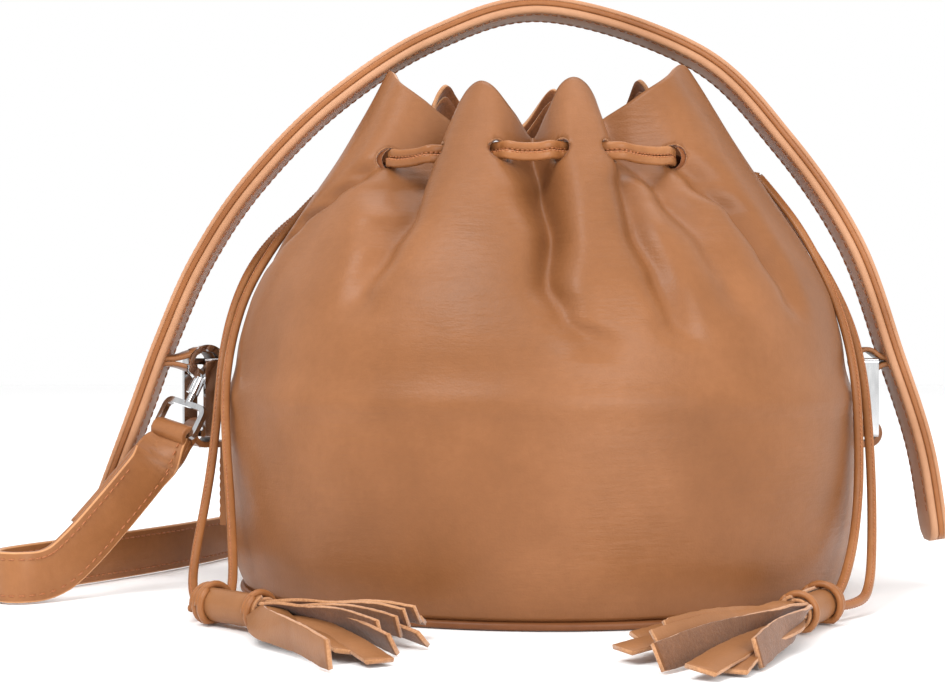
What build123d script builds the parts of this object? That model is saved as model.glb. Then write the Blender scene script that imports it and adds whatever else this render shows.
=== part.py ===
from build123d import *
import math
import os

# Bucket bag: stiff round bucket, gathered soft neck with a drawstring, stiff arched handle on side rings,
# and a thin shoulder strap clipped to the rings. Millimetres, +Z up, origin at the centre of the base.
# +X is the bag's right as seen from the front, and the front faces -Y.
os.makedirs("parts", exist_ok=True)

# ---- driving dimensions ----
LEATHER = 1.6             # body leather
BOARD = 1.0               # stiffener board
LINING = 0.8
LAYER_GAP = 0.3           # between layers of the wall
BASE_R = 106.0            # where the wall meets the base
BREAK_Z = 71.0            # top edge of the wall's stiffener
NECK_Z = 150.0            # height of the drawstring holes
HOLE_R = 4.6
PUNCH_FROM, PUNCH_REACH = 40.0, 60.0   # where each hole's cut starts, and how far it reaches outwards
RIM_Z = 187.0
BINDING_H = 2.8
LACE_R = 1.5
LACE_GAP = 1.9            # half the distance between the two laces
STRAP_W = 17.0
STRAP_T = 2.6
HANDLE_W = 19.0
HANDLE_LAYERS = (1.5, 1.7, 1.5)   # outer leather, core, inner leather
RING_W = 25.0             # along Y
RING_H = 28.0
RING_BAR = 2.2            # bar thickness in the ring's plane
RING_FLAT = 5.0           # bar width across the ring's plane
RING_TOP = 82.0
TAB_T = 2.2
LOOP_IN = 3.2             # inner radius of the leather loops round the ring's bars
LOOP_OUT = 5.2
RIGHT_RING = (118.2, 0.0)         # X and Y of the ring's middle
LEFT_RING = (-122.5, -2.0)
LEFT_TURN = 28.0          # the left ring is pulled round towards the front by the hook

# Wall outline from base to rim, as radius and height
WALL = ((106.5, 0.0), (110.8, 18.0), (112.0, 48.0), (110.5, 74.0), (103.5, 102.0),
        (91.5, 125.0), (75.5, 150.0), (62.0, 172.0), (53.0, 187.0))

# Drawstring holes, in degrees from the front towards +X. The laces run outside over each pair's valley.
HOLES = (-51, -31, -12, 3, 17, 41, 99, 119, 143, 163, 187, 207, 231, 253)


def export(piece, node):
    """Label the piece and write its STEP."""
    piece.part.label = node
    export_step(piece.part, f"parts/{node}.step")


def wall_radius(z):
    """Outer radius of the wall at height z, between the outline's points."""
    for (r0, z0), (r1, z1) in zip(WALL, WALL[1:]):
        if z <= z1:
            return r0 + (r1 - r0) * (z - z0) / (z1 - z0)
    return WALL[-1][0]


def polar(radius, degrees, z):
    """Point at an angle measured from the front (-Y) towards +X."""
    a = math.radians(degrees)
    return (radius * math.sin(a), -radius * math.cos(a), z)


def corner_radii(points, name):
    """Fillet radius for each inner corner: 0.45 of the shorter run over the tangent of half the turn."""
    vectors = [Vector(*p) for p in points]
    radii = []
    for a, b, c in zip(vectors, vectors[1:], vectors[2:]):
        turn = math.radians((b - a).get_angle(c - b))
        shorter = min((b - a).length, (c - b).length)
        radii.append(0.45 * shorter / math.tan(turn / 2))
    print(name, "radii", [round(r, 1) for r in radii])
    return radii


def tube(points, radius, name):
    """Round lace along straight runs and tangent arcs."""
    with BuildPart() as piece:
        with BuildLine() as path:
            FilletPolyline(*points, radius=corner_radii(points, name))
        with BuildSketch(Plane(origin=path.line @ 0, z_dir=path.line % 0)):
            Circle(radius)
        sweep()
    length = sum(edge.length for edge in path.edges())
    ideal = math.pi * radius ** 2 * length
    print(name, "length", round(length, 1), "volume ratio", round(piece.part.volume / ideal, 4))
    return piece


def wall_shell(inset, thickness, low, high, punched=False):
    """Revolved skin that follows the wall's outline, cut to a range of heights, with the drawstring holes."""
    with BuildPart() as piece:
        with BuildSketch(Plane.XZ):
            with BuildLine():
                outside = Spline(*[(r - inset, z) for r, z in WALL])
                inside = Spline(*[(r - inset - thickness, z) for r, z in WALL])
                Line(outside @ 0, inside @ 0)
                Line(outside @ 1, inside @ 1)
            make_face()
            with Locations((0, low)):
                Rectangle(200, high - low, align=(Align.MIN, Align.MIN), mode=Mode.INTERSECT)
        revolve(axis=Axis.Z)
        for angle in HOLES if punched else ():
            with BuildSketch(Plane(origin=polar(PUNCH_FROM, angle, NECK_Z), z_dir=polar(1, angle, 0))):
                Circle(HOLE_R)
            extrude(amount=PUNCH_REACH, mode=Mode.SUBTRACT)
    return piece


# ---- body wall: leather, board and lining ----
board_inset = LEATHER + LAYER_GAP
lining_inset = board_inset + BOARD + LAYER_GAP

body_leather = wall_shell(0, LEATHER, BINDING_H, RIM_Z, punched=True)
export(body_leather, "body_leather")

wall_stiffener = wall_shell(board_inset, BOARD, BINDING_H, BREAK_Z)
export(wall_stiffener, "wall_stiffener")

lining_low = BINDING_H + BOARD + 2 * LAYER_GAP
lining = wall_shell(lining_inset, LINING, lining_low, RIM_Z - 3, punched=True)
export(lining, "lining")

# ---- base ----
with BuildPart() as base_panel:
    Cylinder(BASE_R - 3.0, LEATHER, align=(Align.CENTER, Align.CENTER, Align.MIN))
export(base_panel, "base_panel")

with BuildPart() as base_stiffener:
    with Locations((0, 0, LEATHER + LAYER_GAP)):
        Cylinder(BASE_R - 3.8, BOARD, align=(Align.CENTER, Align.CENTER, Align.MIN))
export(base_stiffener, "base_stiffener")

with BuildPart() as base_binding:
    Cylinder(BASE_R + 0.8, BINDING_H - LAYER_GAP, align=(Align.CENTER, Align.CENTER, Align.MIN))
    Cylinder(BASE_R - 2.7, BINDING_H, align=(Align.CENTER, Align.CENTER, Align.MIN), mode=Mode.SUBTRACT)
export(base_binding, "base_binding")


# ---- handle: an arched strap of three layers, its ends hanging past the rings ----
HANDLE_LINE = ((-160.5, 28.6), (-147.3, 64.0), (-137.7, 90.0), (-125.1, 118.3), (-106.3, 146.6),
               (-77.0, 176.5), (-39.4, 200.7), (3.0, 211.6), (58.6, 193.9), (91.0, 162.0), (115.9, 124.9),
               (130.7, 83.9), (141.3, 50.8), (147.0, 17.0))
LAYER_POINTS = 22


def handle_layer(inset, thickness):
    """One layer of the handle: a strip parallel to the arch's outer line, inset from it."""
    with BuildLine(Plane.XZ, mode=Mode.PRIVATE) as arch:
        Spline(*HANDLE_LINE)
    arch_edge = arch.edges()[0]
    middle = []
    for i in range(LAYER_POINTS + 1):
        at = i / LAYER_POINTS
        place, along = arch_edge @ at, arch_edge % at
        depth = inset + thickness / 2
        middle.append((place.X + along.Z * depth, place.Z - along.X * depth))
    with BuildPart() as piece:
        with BuildSketch(Plane.XZ):
            with BuildLine():
                Spline(*middle)
            trace(line_width=thickness)
        extrude(amount=HANDLE_W / 2, both=True)
    return piece


depth = 0.0
for layer, thickness in zip(("handle_outer", "handle_core", "handle_inner"), HANDLE_LAYERS):
    export(handle_layer(depth, thickness), layer)
    depth += thickness

# ---- side rings with their leather loops ----
BAR_OFFSET = RING_BAR / 2
RING_LOW = RING_TOP - RING_H
TAB_FOOT = 22.0           # lower end of the tab sewn on the wall
TAB_FACE = 0.6            # gap between the wall and the tab
LOOP_W = 12.0             # width of the leather loops, along Y
LOOP_TONGUE = 0.8         # how far the handle's loop stands out as a tongue


def side_plane(centre, sign, turn):
    """Frame of one side's hardware: local X points outwards, local Y lies along the ring's bars."""
    outward = Vector(sign, 0, 0).rotate(Axis.Z, turn)
    return Plane(origin=(centre[0], centre[1], 0), x_dir=outward, z_dir=(0, 0, 1))


def upright(frame):
    """The local XZ plane of a side's frame."""
    return Plane(origin=frame.origin, x_dir=frame.x_dir, z_dir=frame.x_dir.cross(Vector(0, 0, 1)))


def side_ring(frame):
    """Flat rectangular ring standing across the local X axis."""
    mid = RING_TOP - RING_H / 2
    face = Plane(origin=frame.origin + Vector(0, 0, mid), x_dir=frame.y_dir, z_dir=frame.x_dir)
    with BuildPart() as piece:
        with BuildSketch(face):
            RectangleRounded(RING_W, RING_H, 1.4)
            RectangleRounded(RING_W - 2 * RING_BAR, RING_H - 2 * RING_BAR, 0.8, mode=Mode.SUBTRACT)
        extrude(amount=RING_FLAT / 2, both=True)
    return piece


def handle_loop(frame):
    """Leather loop round the ring's upper bar, with a short tongue towards the handle."""
    with BuildPart() as piece:
        with BuildSketch(upright(frame)):
            with Locations((0, RING_TOP - BAR_OFFSET)):
                Circle(LOOP_OUT)
                Rectangle(LOOP_OUT + LOOP_TONGUE, TAB_T, align=(Align.MIN, Align.MAX))
                Circle(LOOP_IN, mode=Mode.SUBTRACT)
        extrude(amount=LOOP_W / 2, both=True)
    return piece


def side_tab(frame, sign):
    """Leather tab: a tail flat against the wall, a neck, and a loop round the ring's lower bar."""
    wall_x = sign * (max(r for r, _ in WALL) + TAB_FACE)
    outward = Align.MIN if sign > 0 else Align.MAX
    bar_z = RING_LOW + BAR_OFFSET
    neck_z = bar_z - LOOP_OUT
    with BuildPart() as piece:
        with BuildSketch(Plane.XZ):
            with Locations((wall_x, TAB_FOOT)):
                Rectangle(TAB_T, neck_z + TAB_T - TAB_FOOT, align=(outward, Align.MIN))
            with Locations((wall_x, neck_z)):
                Rectangle(abs(frame.origin.X - wall_x), TAB_T, align=(outward, Align.MIN))
        extrude(amount=LOOP_W / 2, both=True)
        with BuildSketch(upright(frame)):
            with Locations((0, bar_z)):
                Circle(LOOP_OUT)
        extrude(amount=LOOP_W / 2, both=True)
        with BuildSketch(upright(frame)):
            with Locations((0, bar_z)):
                Circle(LOOP_IN)
        extrude(amount=LOOP_W, both=True, mode=Mode.SUBTRACT)
    return piece


right_frame = side_plane(RIGHT_RING, 1, 0)
left_frame = side_plane(LEFT_RING, -1, LEFT_TURN)
for side, sign, frame in (("right", 1, right_frame), ("left", -1, left_frame)):
    export(side_ring(frame), f"side_ring_{side}")
    export(handle_loop(frame), f"handle_loop_{side}")
    export(side_tab(frame, sign), f"side_tab_{side}")

# ---- snap hooks: bow and stem, swivelling eye, sprung gate on its pin ----
BOW_OUT = 6.9
BOW_IN = 4.5
BOW_T = 3.2               # thickness of the bow
GATE_T = 1.6
PIN_R = 0.6
PIN_CLEAR = 0.05
NOSE_AT, GATE_TO = 190.0, 318.0     # degrees round the bow between which the gate lies
GATE_REACH = 8.6          # from the pin to the gate's free end, which is round about the pin
NOSE_GAP = 0.15
CHEEK_AT = 18.0           # degrees before the pin at which the two cheeks start
SLOT_BEFORE, SLOT_PAST = 24.0, 5.0  # degrees of the slot on each side of the pin
SLOT_SIDE = 0.1           # gap on each side of the gate
CHEEK_R, SLOT_R, KNUCKLE_R = 1.7, 1.75, 1.3
PIN_SEAT = 0.01           # the pin's seat in the cheeks
GATE_SKIN = 0.4           # the gate is this much narrower than the bow on each side
STEM_R = 2.3
STEM_END = 12.0
EYE_AT = 15.0
EYE_W, EYE_H, EYE_WIRE = 17.6, 9.0, 2.0
POST_R = 1.2
POST_FROM = 8.6           # the eye's post reaches this far up the stem's bore
BORE_SPARE = 0.6          # empty bore above the post


def sector(radius, start, stop):
    """Pie slice from start to stop degrees, in the sketch in hand."""
    first = (radius * math.cos(math.radians(start)), radius * math.sin(math.radians(start)))
    last = (radius * math.cos(math.radians(stop)), radius * math.sin(math.radians(stop)))
    middle = math.radians((start + stop) / 2)
    with BuildLine(mode=Mode.PRIVATE) as wedge:
        Line((0, 0), first)
        ThreePointArc(first, (radius * math.cos(middle), radius * math.sin(middle)), last)
        Line(last, (0, 0))
    make_face(wedge.edges())


BOW_MID = (BOW_OUT + BOW_IN) / 2
PIN_AT = (BOW_MID * math.cos(math.radians(GATE_TO)), BOW_MID * math.sin(math.radians(GATE_TO)))


def hook_body(frame):
    """Bow with a slot for the gate, and the stem that turns in the eye. Local X runs down the stem."""
    with BuildPart(frame) as piece:
        with BuildSketch(frame):
            Circle(BOW_OUT)
            Circle(BOW_IN, mode=Mode.SUBTRACT)
            with Locations(PIN_AT):
                Circle(CHEEK_R)
        extrude(amount=BOW_T / 2, both=True)
        with BuildSketch(frame):
            sector(BOW_OUT + 1, NOSE_AT, GATE_TO - CHEEK_AT)
            with Locations(PIN_AT):
                Circle(GATE_REACH + NOSE_GAP, mode=Mode.INTERSECT)
        extrude(amount=BOW_T, both=True, mode=Mode.SUBTRACT)
        with BuildSketch(frame):
            sector(BOW_OUT + 1, GATE_TO - SLOT_BEFORE, GATE_TO + SLOT_PAST)
            with Locations(PIN_AT):
                Circle(SLOT_R)
        extrude(amount=GATE_T / 2 + SLOT_SIDE, both=True, mode=Mode.SUBTRACT)
        with Locations(PIN_AT):
            Cylinder(PIN_R + PIN_SEAT, BOW_T * 2, mode=Mode.SUBTRACT)
        with Locations((BOW_MID, 0, 0)):
            Cylinder(STEM_R, STEM_END - BOW_MID, rotation=(0, 90, 0), align=(Align.CENTER, Align.CENTER, Align.MIN))
        with Locations((POST_FROM - BORE_SPARE, 0, 0)):
            Cylinder(POST_R + PIN_CLEAR, STEM_END, rotation=(0, 90, 0),
                     align=(Align.CENTER, Align.CENTER, Align.MIN), mode=Mode.SUBTRACT)
    return piece


def hook_gate(frame):
    """Gate that closes the bow, with a knuckle on the pin."""
    with BuildPart(frame) as piece:
        with BuildSketch(frame):
            sector(BOW_OUT + 1, NOSE_AT, GATE_TO)
            Circle(BOW_OUT - GATE_SKIN, mode=Mode.INTERSECT)
            Circle(BOW_IN + GATE_SKIN, mode=Mode.SUBTRACT)
            with Locations(PIN_AT):
                Circle(GATE_REACH, mode=Mode.INTERSECT)
                Circle(KNUCKLE_R)
                Circle(PIN_R + PIN_CLEAR, mode=Mode.SUBTRACT)
        extrude(amount=GATE_T / 2, both=True)
    return piece


def gate_pin(frame):
    """Pin through the cheeks and the gate's knuckle."""
    with BuildPart(frame) as piece:
        with Locations(PIN_AT):
            Cylinder(PIN_R, BOW_T)
    return piece


def hook_swivel(frame):
    """Eye for the strap, on a post that turns in the stem's bore."""
    with BuildPart(frame) as piece:
        with Locations((POST_FROM, 0, 0)):
            Cylinder(POST_R, EYE_AT + EYE_WIRE / 2 - POST_FROM, rotation=(0, 90, 0),
                     align=(Align.CENTER, Align.CENTER, Align.MIN))
        with BuildSketch(frame):
            with Locations((EYE_AT + EYE_WIRE + EYE_H / 2, 0)):
                RectangleRounded(EYE_H + 2 * EYE_WIRE, EYE_W + 2 * EYE_WIRE, 3.6)
                RectangleRounded(EYE_H, EYE_W, 2.0, mode=Mode.SUBTRACT)
        extrude(amount=EYE_WIRE / 2, both=True)
    return piece


HANG_LEFT = 27.0          # the left hook leans outwards under the pull of the strap
GRIP_ALONG = 8.15         # the left hook holds the top bar between the leather loop and the ring's side
EYE_LEAN = Vector(0.7, -0.65, -0.3)   # the left eye turns so that its bar lies across the strap
HANG_GAP = 1.0            # from the left bar's middle down to the bow's middle
RIGHT_GRIP = 68.0         # height at which the right hook holds the ring's side bar
PULL_GAP = 0.8            # from the right bar's middle out to the bow's middle
left_down = Vector(left_frame.x_dir) * math.sin(math.radians(HANG_LEFT))
left_down = left_down - Vector(0, 0, math.cos(math.radians(HANG_LEFT)))
left_grip = left_frame.origin + left_frame.y_dir * GRIP_ALONG + Vector(0, 0, RING_TOP - BAR_OFFSET)
left_hook = Plane(origin=left_grip + left_down * HANG_GAP, x_dir=left_down, z_dir=left_frame.y_dir)
right_down = Vector(-0.12, 0.85, -0.5).normalized()
right_side = right_down.cross(Vector(0, 0, 1)).normalized()
right_up = right_side.cross(right_down)
right_grip = right_frame.origin + Vector(0, (RING_W - RING_BAR) / 2, RIGHT_GRIP)
right_hook = Plane(origin=right_grip + right_down * PULL_GAP, x_dir=right_down, z_dir=right_up)

for side, frame in (("left", left_hook), ("right", right_hook)):
    export(hook_body(frame), f"hook_body_{side}")
    export(hook_gate(frame), f"hook_gate_{side}")
    export(gate_pin(frame), f"gate_pin_{side}")
eye_left = Plane(origin=left_hook.origin, x_dir=left_down, z_dir=left_down.cross(EYE_LEAN))
eye_right = Plane(origin=right_hook.origin, x_dir=right_down, z_dir=right_side)
export(hook_swivel(eye_left), "hook_swivel_left")
export(hook_swivel(eye_right), "hook_swivel_right")

# ---- drawstring: two laces woven through the holes ----
WALL_DEPTH = lining_inset + LINING
LACE_OUT = 3.6            # lace outside the wall, from the leather's face
LACE_IN = -WALL_DEPTH - 3.6
LEAN = 1.6                # degrees from a hole's middle to the lace's corners beside it
STEP_OUT, STEP_IN = 12.0, 17.0      # largest step along the lace, in degrees


def valley_follows(hole):
    """Whether the next hole round, going clockwise, lies across a valley, so that the lace runs outside."""
    return HOLES.index(hole) % 2 == 1


def woven(z, exit_hole, name):
    """A lace that starts outside at its exit hole, goes once round and comes out there again."""
    start = HOLES.index(exit_hole)
    order = [HOLES[(start - k) % len(HOLES)] for k in range(len(HOLES) + 1)]
    points = []
    for here, after in zip(order, order[1:]):
        outside = valley_follows(here)
        level = wall_radius(z) + (LACE_OUT if outside else LACE_IN)
        span = (here - after) % 360 - 2 * LEAN
        steps = max(1, round(span / (STEP_OUT if outside else STEP_IN)))
        points += [polar(level, here - LEAN - span * n / steps, z) for n in range(steps + 1)]
    if valley_follows(exit_hole):
        points.append(polar(wall_radius(z) + LACE_OUT, exit_hole + LEAN, z))
    else:
        points.insert(0, polar(wall_radius(z) + LACE_OUT, exit_hole - LEAN, z))
    return tube(points, LACE_R, name)


export(woven(NECK_Z - LACE_GAP, 253, "left loop"), "drawstring_loop_left")
export(woven(NECK_Z + LACE_GAP, 99, "right loop"), "drawstring_loop_right")

# ---- free ends of the laces: out of the side hole, down the wall and forward along the floor ----
FLOOR_LACE = LACE_R + 0.4
TAILS = {
    "lace_tail_left_front": [
        polar(81.5, 250.4, 145.2), polar(88.5, 255.0, 138.0), polar(97.5, 261.0, 128.5), polar(105.0, 267.0, 116.0),
        polar(110.2, 272.6, 101.0), polar(113.6, 278.0, 84.0), polar(115.6, 282.2, 65.0), polar(118.0, 284.8, 46.5),
        polar(121.5, 287.4, 30.5), polar(126.4, 292.0, 17.0), polar(131.8, 298.2, 8.0), polar(135.8, 304.2, 3.6),
        (-111.8, -88.4, 4.4)],
    "lace_tail_left_back": [
        polar(81.5, 255.5, 145.4), polar(89.8, 261.0, 135.0), polar(97.4, 267.5, 122.0), polar(105.4, 273.5, 106.0),
        polar(110.4, 279.8, 89.5), polar(114.1, 286.0, 71.5), polar(115.2, 290.6, 52.5), polar(115.9, 294.5, 35.0),
        polar(118.0, 298.6, 20.0), polar(121.6, 303.0, 10.5), polar(127.0, 306.6, 5.4), (-104.4, -82.4, 5.4)],
    "lace_tail_right_front": [
        polar(81.5, 95.2, 148.4), polar(87.0, 92.0, 140.5), polar(94.8, 87.5, 128.0), polar(102.6, 82.0, 111.0),
        polar(109.0, 76.0, 93.5), polar(113.6, 70.5, 75.0), polar(115.5, 67.8, 56.0), polar(116.6, 65.0, 38.0),
        polar(117.7, 60.0, 22.0), polar(119.4, 54.0, 11.0), polar(121.4, 48.8, 6.0), (85.2, -83.0, 6.4)],
    "lace_tail_right_back": [
        polar(81.8, 98.8, 147.6), polar(88.0, 97.0, 139.0), polar(96.8, 92.2, 126.5), polar(105.0, 86.8, 110.0),
        polar(111.6, 80.8, 93.0), polar(115.6, 75.4, 75.0), polar(117.6, 72.2, 56.5), polar(119.2, 69.4, 38.5),
        polar(121.2, 64.6, 21.0), polar(124.2, 58.6, 8.5), polar(126.2, 53.0, 4.0), (90.8, -85.6, 4.6)],
}
for node, points in TAILS.items():
    export(tube(points, LACE_R, node), node)

# ---- tassels on the floor: rolled heads and cut fringes ----
HEAD_R = 6.0
HEAD_FLOOR = HEAD_R + 0.4
HEADS = {"left": ((-108.0, -89.5), (-86.5, -110.5)), "right": ((87.0, -88.6), (73.0, -113.0))}
FRINGES = {
    "left": ((-89.8, -116.0), (-83.0, -145.0), (-66.0, -186.0), (-55.0, -176.0), (-38.0, -140.0), (-37.0, -124.0),
             (-66.0, -104.0), (-80.0, -106.5)),
    "right": ((78.6, -117.6), (66.0, -140.0), (34.0, -188.0), (24.0, -176.0), (15.0, -152.0), (36.0, -132.0),
              (66.0, -110.6)),
}
FRINGE_H = 12.0
FLOOR_GAP = 0.3


def tassel_head(ends):
    """Rolled leather head, lying on its side."""
    start, stop = Vector(*ends[0], HEAD_FLOOR), Vector(*ends[1], HEAD_FLOOR)
    with BuildPart(Plane(origin=start, z_dir=stop - start)) as piece:
        Cylinder(HEAD_R, (stop - start).length, align=(Align.CENTER, Align.CENTER, Align.MIN))
        fillet(piece.edges().filter_by(GeomType.CIRCLE), 2.0)
    return piece


for side in ("left", "right"):
    export(tassel_head(HEADS[side]), f"tassel_head_{side}")
    with BuildPart() as fringe:
        with BuildSketch(Plane.XY.offset(FLOOR_GAP)):
            with BuildLine():
                Polyline(*FRINGES[side], close=True)
            make_face()
        extrude(amount=FRINGE_H)
    export(fringe, f"tassel_skirt_{side}")

# ---- shoulder strap: on its edge along the floor, stowed in three runs behind the bag ----
STRAP_LOW = 0.4
STRAP_MID = STRAP_LOW + STRAP_W / 2
FALL_FROM = (-130.9, -15.8)        # below the left hook's eye
FALL_TO = (-166.0, -44.0)
FALL = ((0.0, 53.0), (11.0, 40.8), (23.0, 28.4), (34.0, 17.6), (45.1, STRAP_MID))   # along the fall, and height
FLOOR_RUN = (
    FALL_TO, (-177.5, -52.3), (-188.2, -42.8), (-177.0, -20.5), (-152.5, 16.0), (-131.5, 55.0), (-119.0, 90.0),
    (-100.0, 118.0), (-64.0, 129.5), (0.0, 122.8), (60.0, 127.0), (90.0, 130.0), (91.0, 148.0), (60.0, 144.5),
    (0.0, 140.8), (-60.0, 145.0), (-90.0, 147.5), (-91.0, 165.5), (-60.0, 162.0), (0.0, 158.5), (58.0, 162.0),
    (98.0, 158.0), (116.0, 138.0), (120.5, 116.0), (118.4, 96.0))
RISE_TO = (114.6, 37.6)
RISE = ((0.0, STRAP_MID), (18.0, 14.5), (40.0, 37.0), (59.2, 52.8))


def band(plane, points, name):
    """Upright strip of the strap, drawn on a vertical plane along its fall or rise."""
    with BuildPart() as piece:
        with BuildSketch(plane):
            with BuildLine():
                Spline(*points)
            trace(line_width=STRAP_W)
        extrude(amount=STRAP_T / 2, both=True)
    return piece


def vertical_plane(start, stop):
    """Upright plane whose local X runs from start to stop on the floor."""
    along = Vector(stop[0] - start[0], stop[1] - start[1], 0)
    return Plane(origin=(start[0], start[1], 0), x_dir=along, z_dir=along.cross(Vector(0, 0, 1)))


with BuildPart() as shoulder_strap:
    with BuildSketch(Plane.XY.offset(STRAP_LOW)):
        with BuildLine() as floor_line:
            FilletPolyline(*FLOOR_RUN, radius=corner_radii([(x, y, 0) for x, y in FLOOR_RUN], "strap on the floor"))
        trace(line_width=STRAP_T)
    extrude(amount=STRAP_W)
    add(band(vertical_plane(FALL_FROM, FALL_TO), FALL, "fall").part)
    add(band(vertical_plane(FLOOR_RUN[-1], RISE_TO), RISE, "rise").part)
floor_length = sum(e.length for e in floor_line.edges())
print("strap on the floor", round(floor_length), "strap solids", len(shoulder_strap.solids()))
print("strap length from volume", round(shoulder_strap.part.volume / STRAP_W / STRAP_T))
export(shoulder_strap, "shoulder_strap")
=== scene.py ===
import math

import bpy
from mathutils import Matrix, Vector, noise


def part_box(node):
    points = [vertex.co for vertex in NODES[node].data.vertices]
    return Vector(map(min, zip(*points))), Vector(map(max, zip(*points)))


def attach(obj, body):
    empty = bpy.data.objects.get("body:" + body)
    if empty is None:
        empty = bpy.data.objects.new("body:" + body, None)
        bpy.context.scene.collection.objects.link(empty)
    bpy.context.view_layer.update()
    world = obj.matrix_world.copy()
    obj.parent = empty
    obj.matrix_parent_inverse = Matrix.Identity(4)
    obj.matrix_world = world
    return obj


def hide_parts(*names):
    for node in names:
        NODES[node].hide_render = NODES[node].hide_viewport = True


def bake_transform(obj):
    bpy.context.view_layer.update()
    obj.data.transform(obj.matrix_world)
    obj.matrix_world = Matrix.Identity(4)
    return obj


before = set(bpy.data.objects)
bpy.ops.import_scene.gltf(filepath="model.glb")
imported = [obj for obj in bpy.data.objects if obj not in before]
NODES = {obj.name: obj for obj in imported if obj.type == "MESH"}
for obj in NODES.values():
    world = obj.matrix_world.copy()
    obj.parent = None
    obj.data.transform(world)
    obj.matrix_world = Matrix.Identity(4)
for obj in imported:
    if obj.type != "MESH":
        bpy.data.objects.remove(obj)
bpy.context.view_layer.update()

# Bucket bag: gathered leather body, arched handle on side rings, woven laces with tassels, and a shoulder
# strap. The part's frame is +Z up, the front faces -Y and the origin is the base's middle. Sizes are typed in
# millimetres and times MM they are metres.
MM = 0.001
COLLECTION = bpy.context.scene.collection
UP = Vector((0, 0, 1))


# ---------------------------------------------------------------- colours and materials
def srgb(r, g, b):
    """Linear colour from 8-bit sRGB values."""
    channels = []
    for value in (r, g, b):
        c = value / 255
        channels.append(c / 12.92 if c <= 0.04045 else ((c + 0.055) / 1.055) ** 2.4)
    return (*channels, 1.0)


def new_material(name):
    """Empty node material: its tree, shader and object coordinates."""
    material = bpy.data.materials.new(name)
    material.use_nodes = True
    tree = material.node_tree
    shader = tree.nodes["Principled BSDF"]
    coords = tree.nodes.new("ShaderNodeTexCoord")
    return material, tree, shader, coords.outputs["Object"]


def noise_node(tree, coords, scale, detail=3.0, roughness=0.5, stretch=None):
    """Noise in object space, optionally stretched along the axes."""
    node = tree.nodes.new("ShaderNodeTexNoise")
    node.inputs["Scale"].default_value = scale
    node.inputs["Detail"].default_value = detail
    node.inputs["Roughness"].default_value = roughness
    if stretch:
        mapping = tree.nodes.new("ShaderNodeMapping")
        mapping.inputs["Scale"].default_value = stretch
        tree.links.new(coords, mapping.inputs["Vector"])
        coords = mapping.outputs["Vector"]
    tree.links.new(coords, node.inputs["Vector"])
    return node.outputs["Fac"]


def ramp_node(tree, value, stops):
    """Colour ramp over a value."""
    node = tree.nodes.new("ShaderNodeValToRGB")
    elements = node.color_ramp.elements
    while len(elements) < len(stops):
        elements.new(0.5)
    for element, (place, colour) in zip(elements, stops):
        element.position = place
        element.color = colour
    tree.links.new(value, node.inputs["Fac"])
    return node.outputs["Color"]


def math_node(tree, operation, a, b, clamp=False):
    """Math on two values, each a socket or a number."""
    node = tree.nodes.new("ShaderNodeMath")
    node.operation = operation
    node.use_clamp = clamp
    for socket, value in zip(node.inputs, (a, b)):
        if isinstance(value, (int, float)):
            socket.default_value = value
        else:
            tree.links.new(value, socket)
    return node.outputs[0]


def bump_node(tree, height, distance, strength=1.0, normal=None):
    """Bump from a height in metres per unit."""
    node = tree.nodes.new("ShaderNodeBump")
    node.inputs["Strength"].default_value = strength
    node.inputs["Distance"].default_value = distance
    tree.links.new(height, node.inputs["Height"])
    if normal is not None:
        tree.links.new(normal, node.inputs["Normal"])
    return node.outputs["Normal"]


def mixed_noise(tree, a, b, share):
    """Two noises added, with a share of the first."""
    return math_node(tree, "ADD", math_node(tree, "MULTIPLY", a, share),
                     math_node(tree, "MULTIPLY", b, 1 - share))


def roughness_from(tree, shader, value, gain, base):
    """Roughness that varies with a value."""
    spread = math_node(tree, "MULTIPLY_ADD", value, gain)
    spread.node.inputs[2].default_value = base
    tree.links.new(spread, shader.inputs["Roughness"])


def leather(name, deep, middle, light, rough=0.4, grain=1500.0, crease=0.0, pebble=0.00006):
    """Smooth dyed leather: cloudy colour, fine pebbled grain, and fine creases across the hide."""
    material, tree, shader, coords = new_material(name)
    clouds = noise_node(tree, coords, 22.0, 4.0, 0.55)
    fine = noise_node(tree, coords, 420.0, 2.0)
    mixed = mixed_noise(tree, clouds, fine, 0.86)
    colour = ramp_node(tree, mixed, ((0.3, deep), (0.5, middle), (0.7, light)))
    tree.links.new(colour, shader.inputs["Base Color"])
    smudge = noise_node(tree, coords, 60.0, 3.0)
    roughness_from(tree, shader, smudge, 0.16, rough - 0.08)
    cells = tree.nodes.new("ShaderNodeTexVoronoi")
    cells.feature = "SMOOTH_F1"
    cells.inputs["Scale"].default_value = grain
    tree.links.new(coords, cells.inputs["Vector"])
    normal = bump_node(tree, cells.outputs["Distance"], pebble, 0.7)
    if crease:
        across = noise_node(tree, coords, 260.0, 4.0, 0.6, stretch=(0.35, 0.35, 1.9))
        patches = noise_node(tree, coords, 16.0, 2.0)
        masked = math_node(tree, "MULTIPLY", across, math_node(tree, "SUBTRACT", patches, 0.28, clamp=True))
        normal = bump_node(tree, masked, crease, 0.8, normal)
    tree.links.new(normal, shader.inputs["Normal"])
    shader.inputs["Specular IOR Level"].default_value = 0.22
    return material


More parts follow.
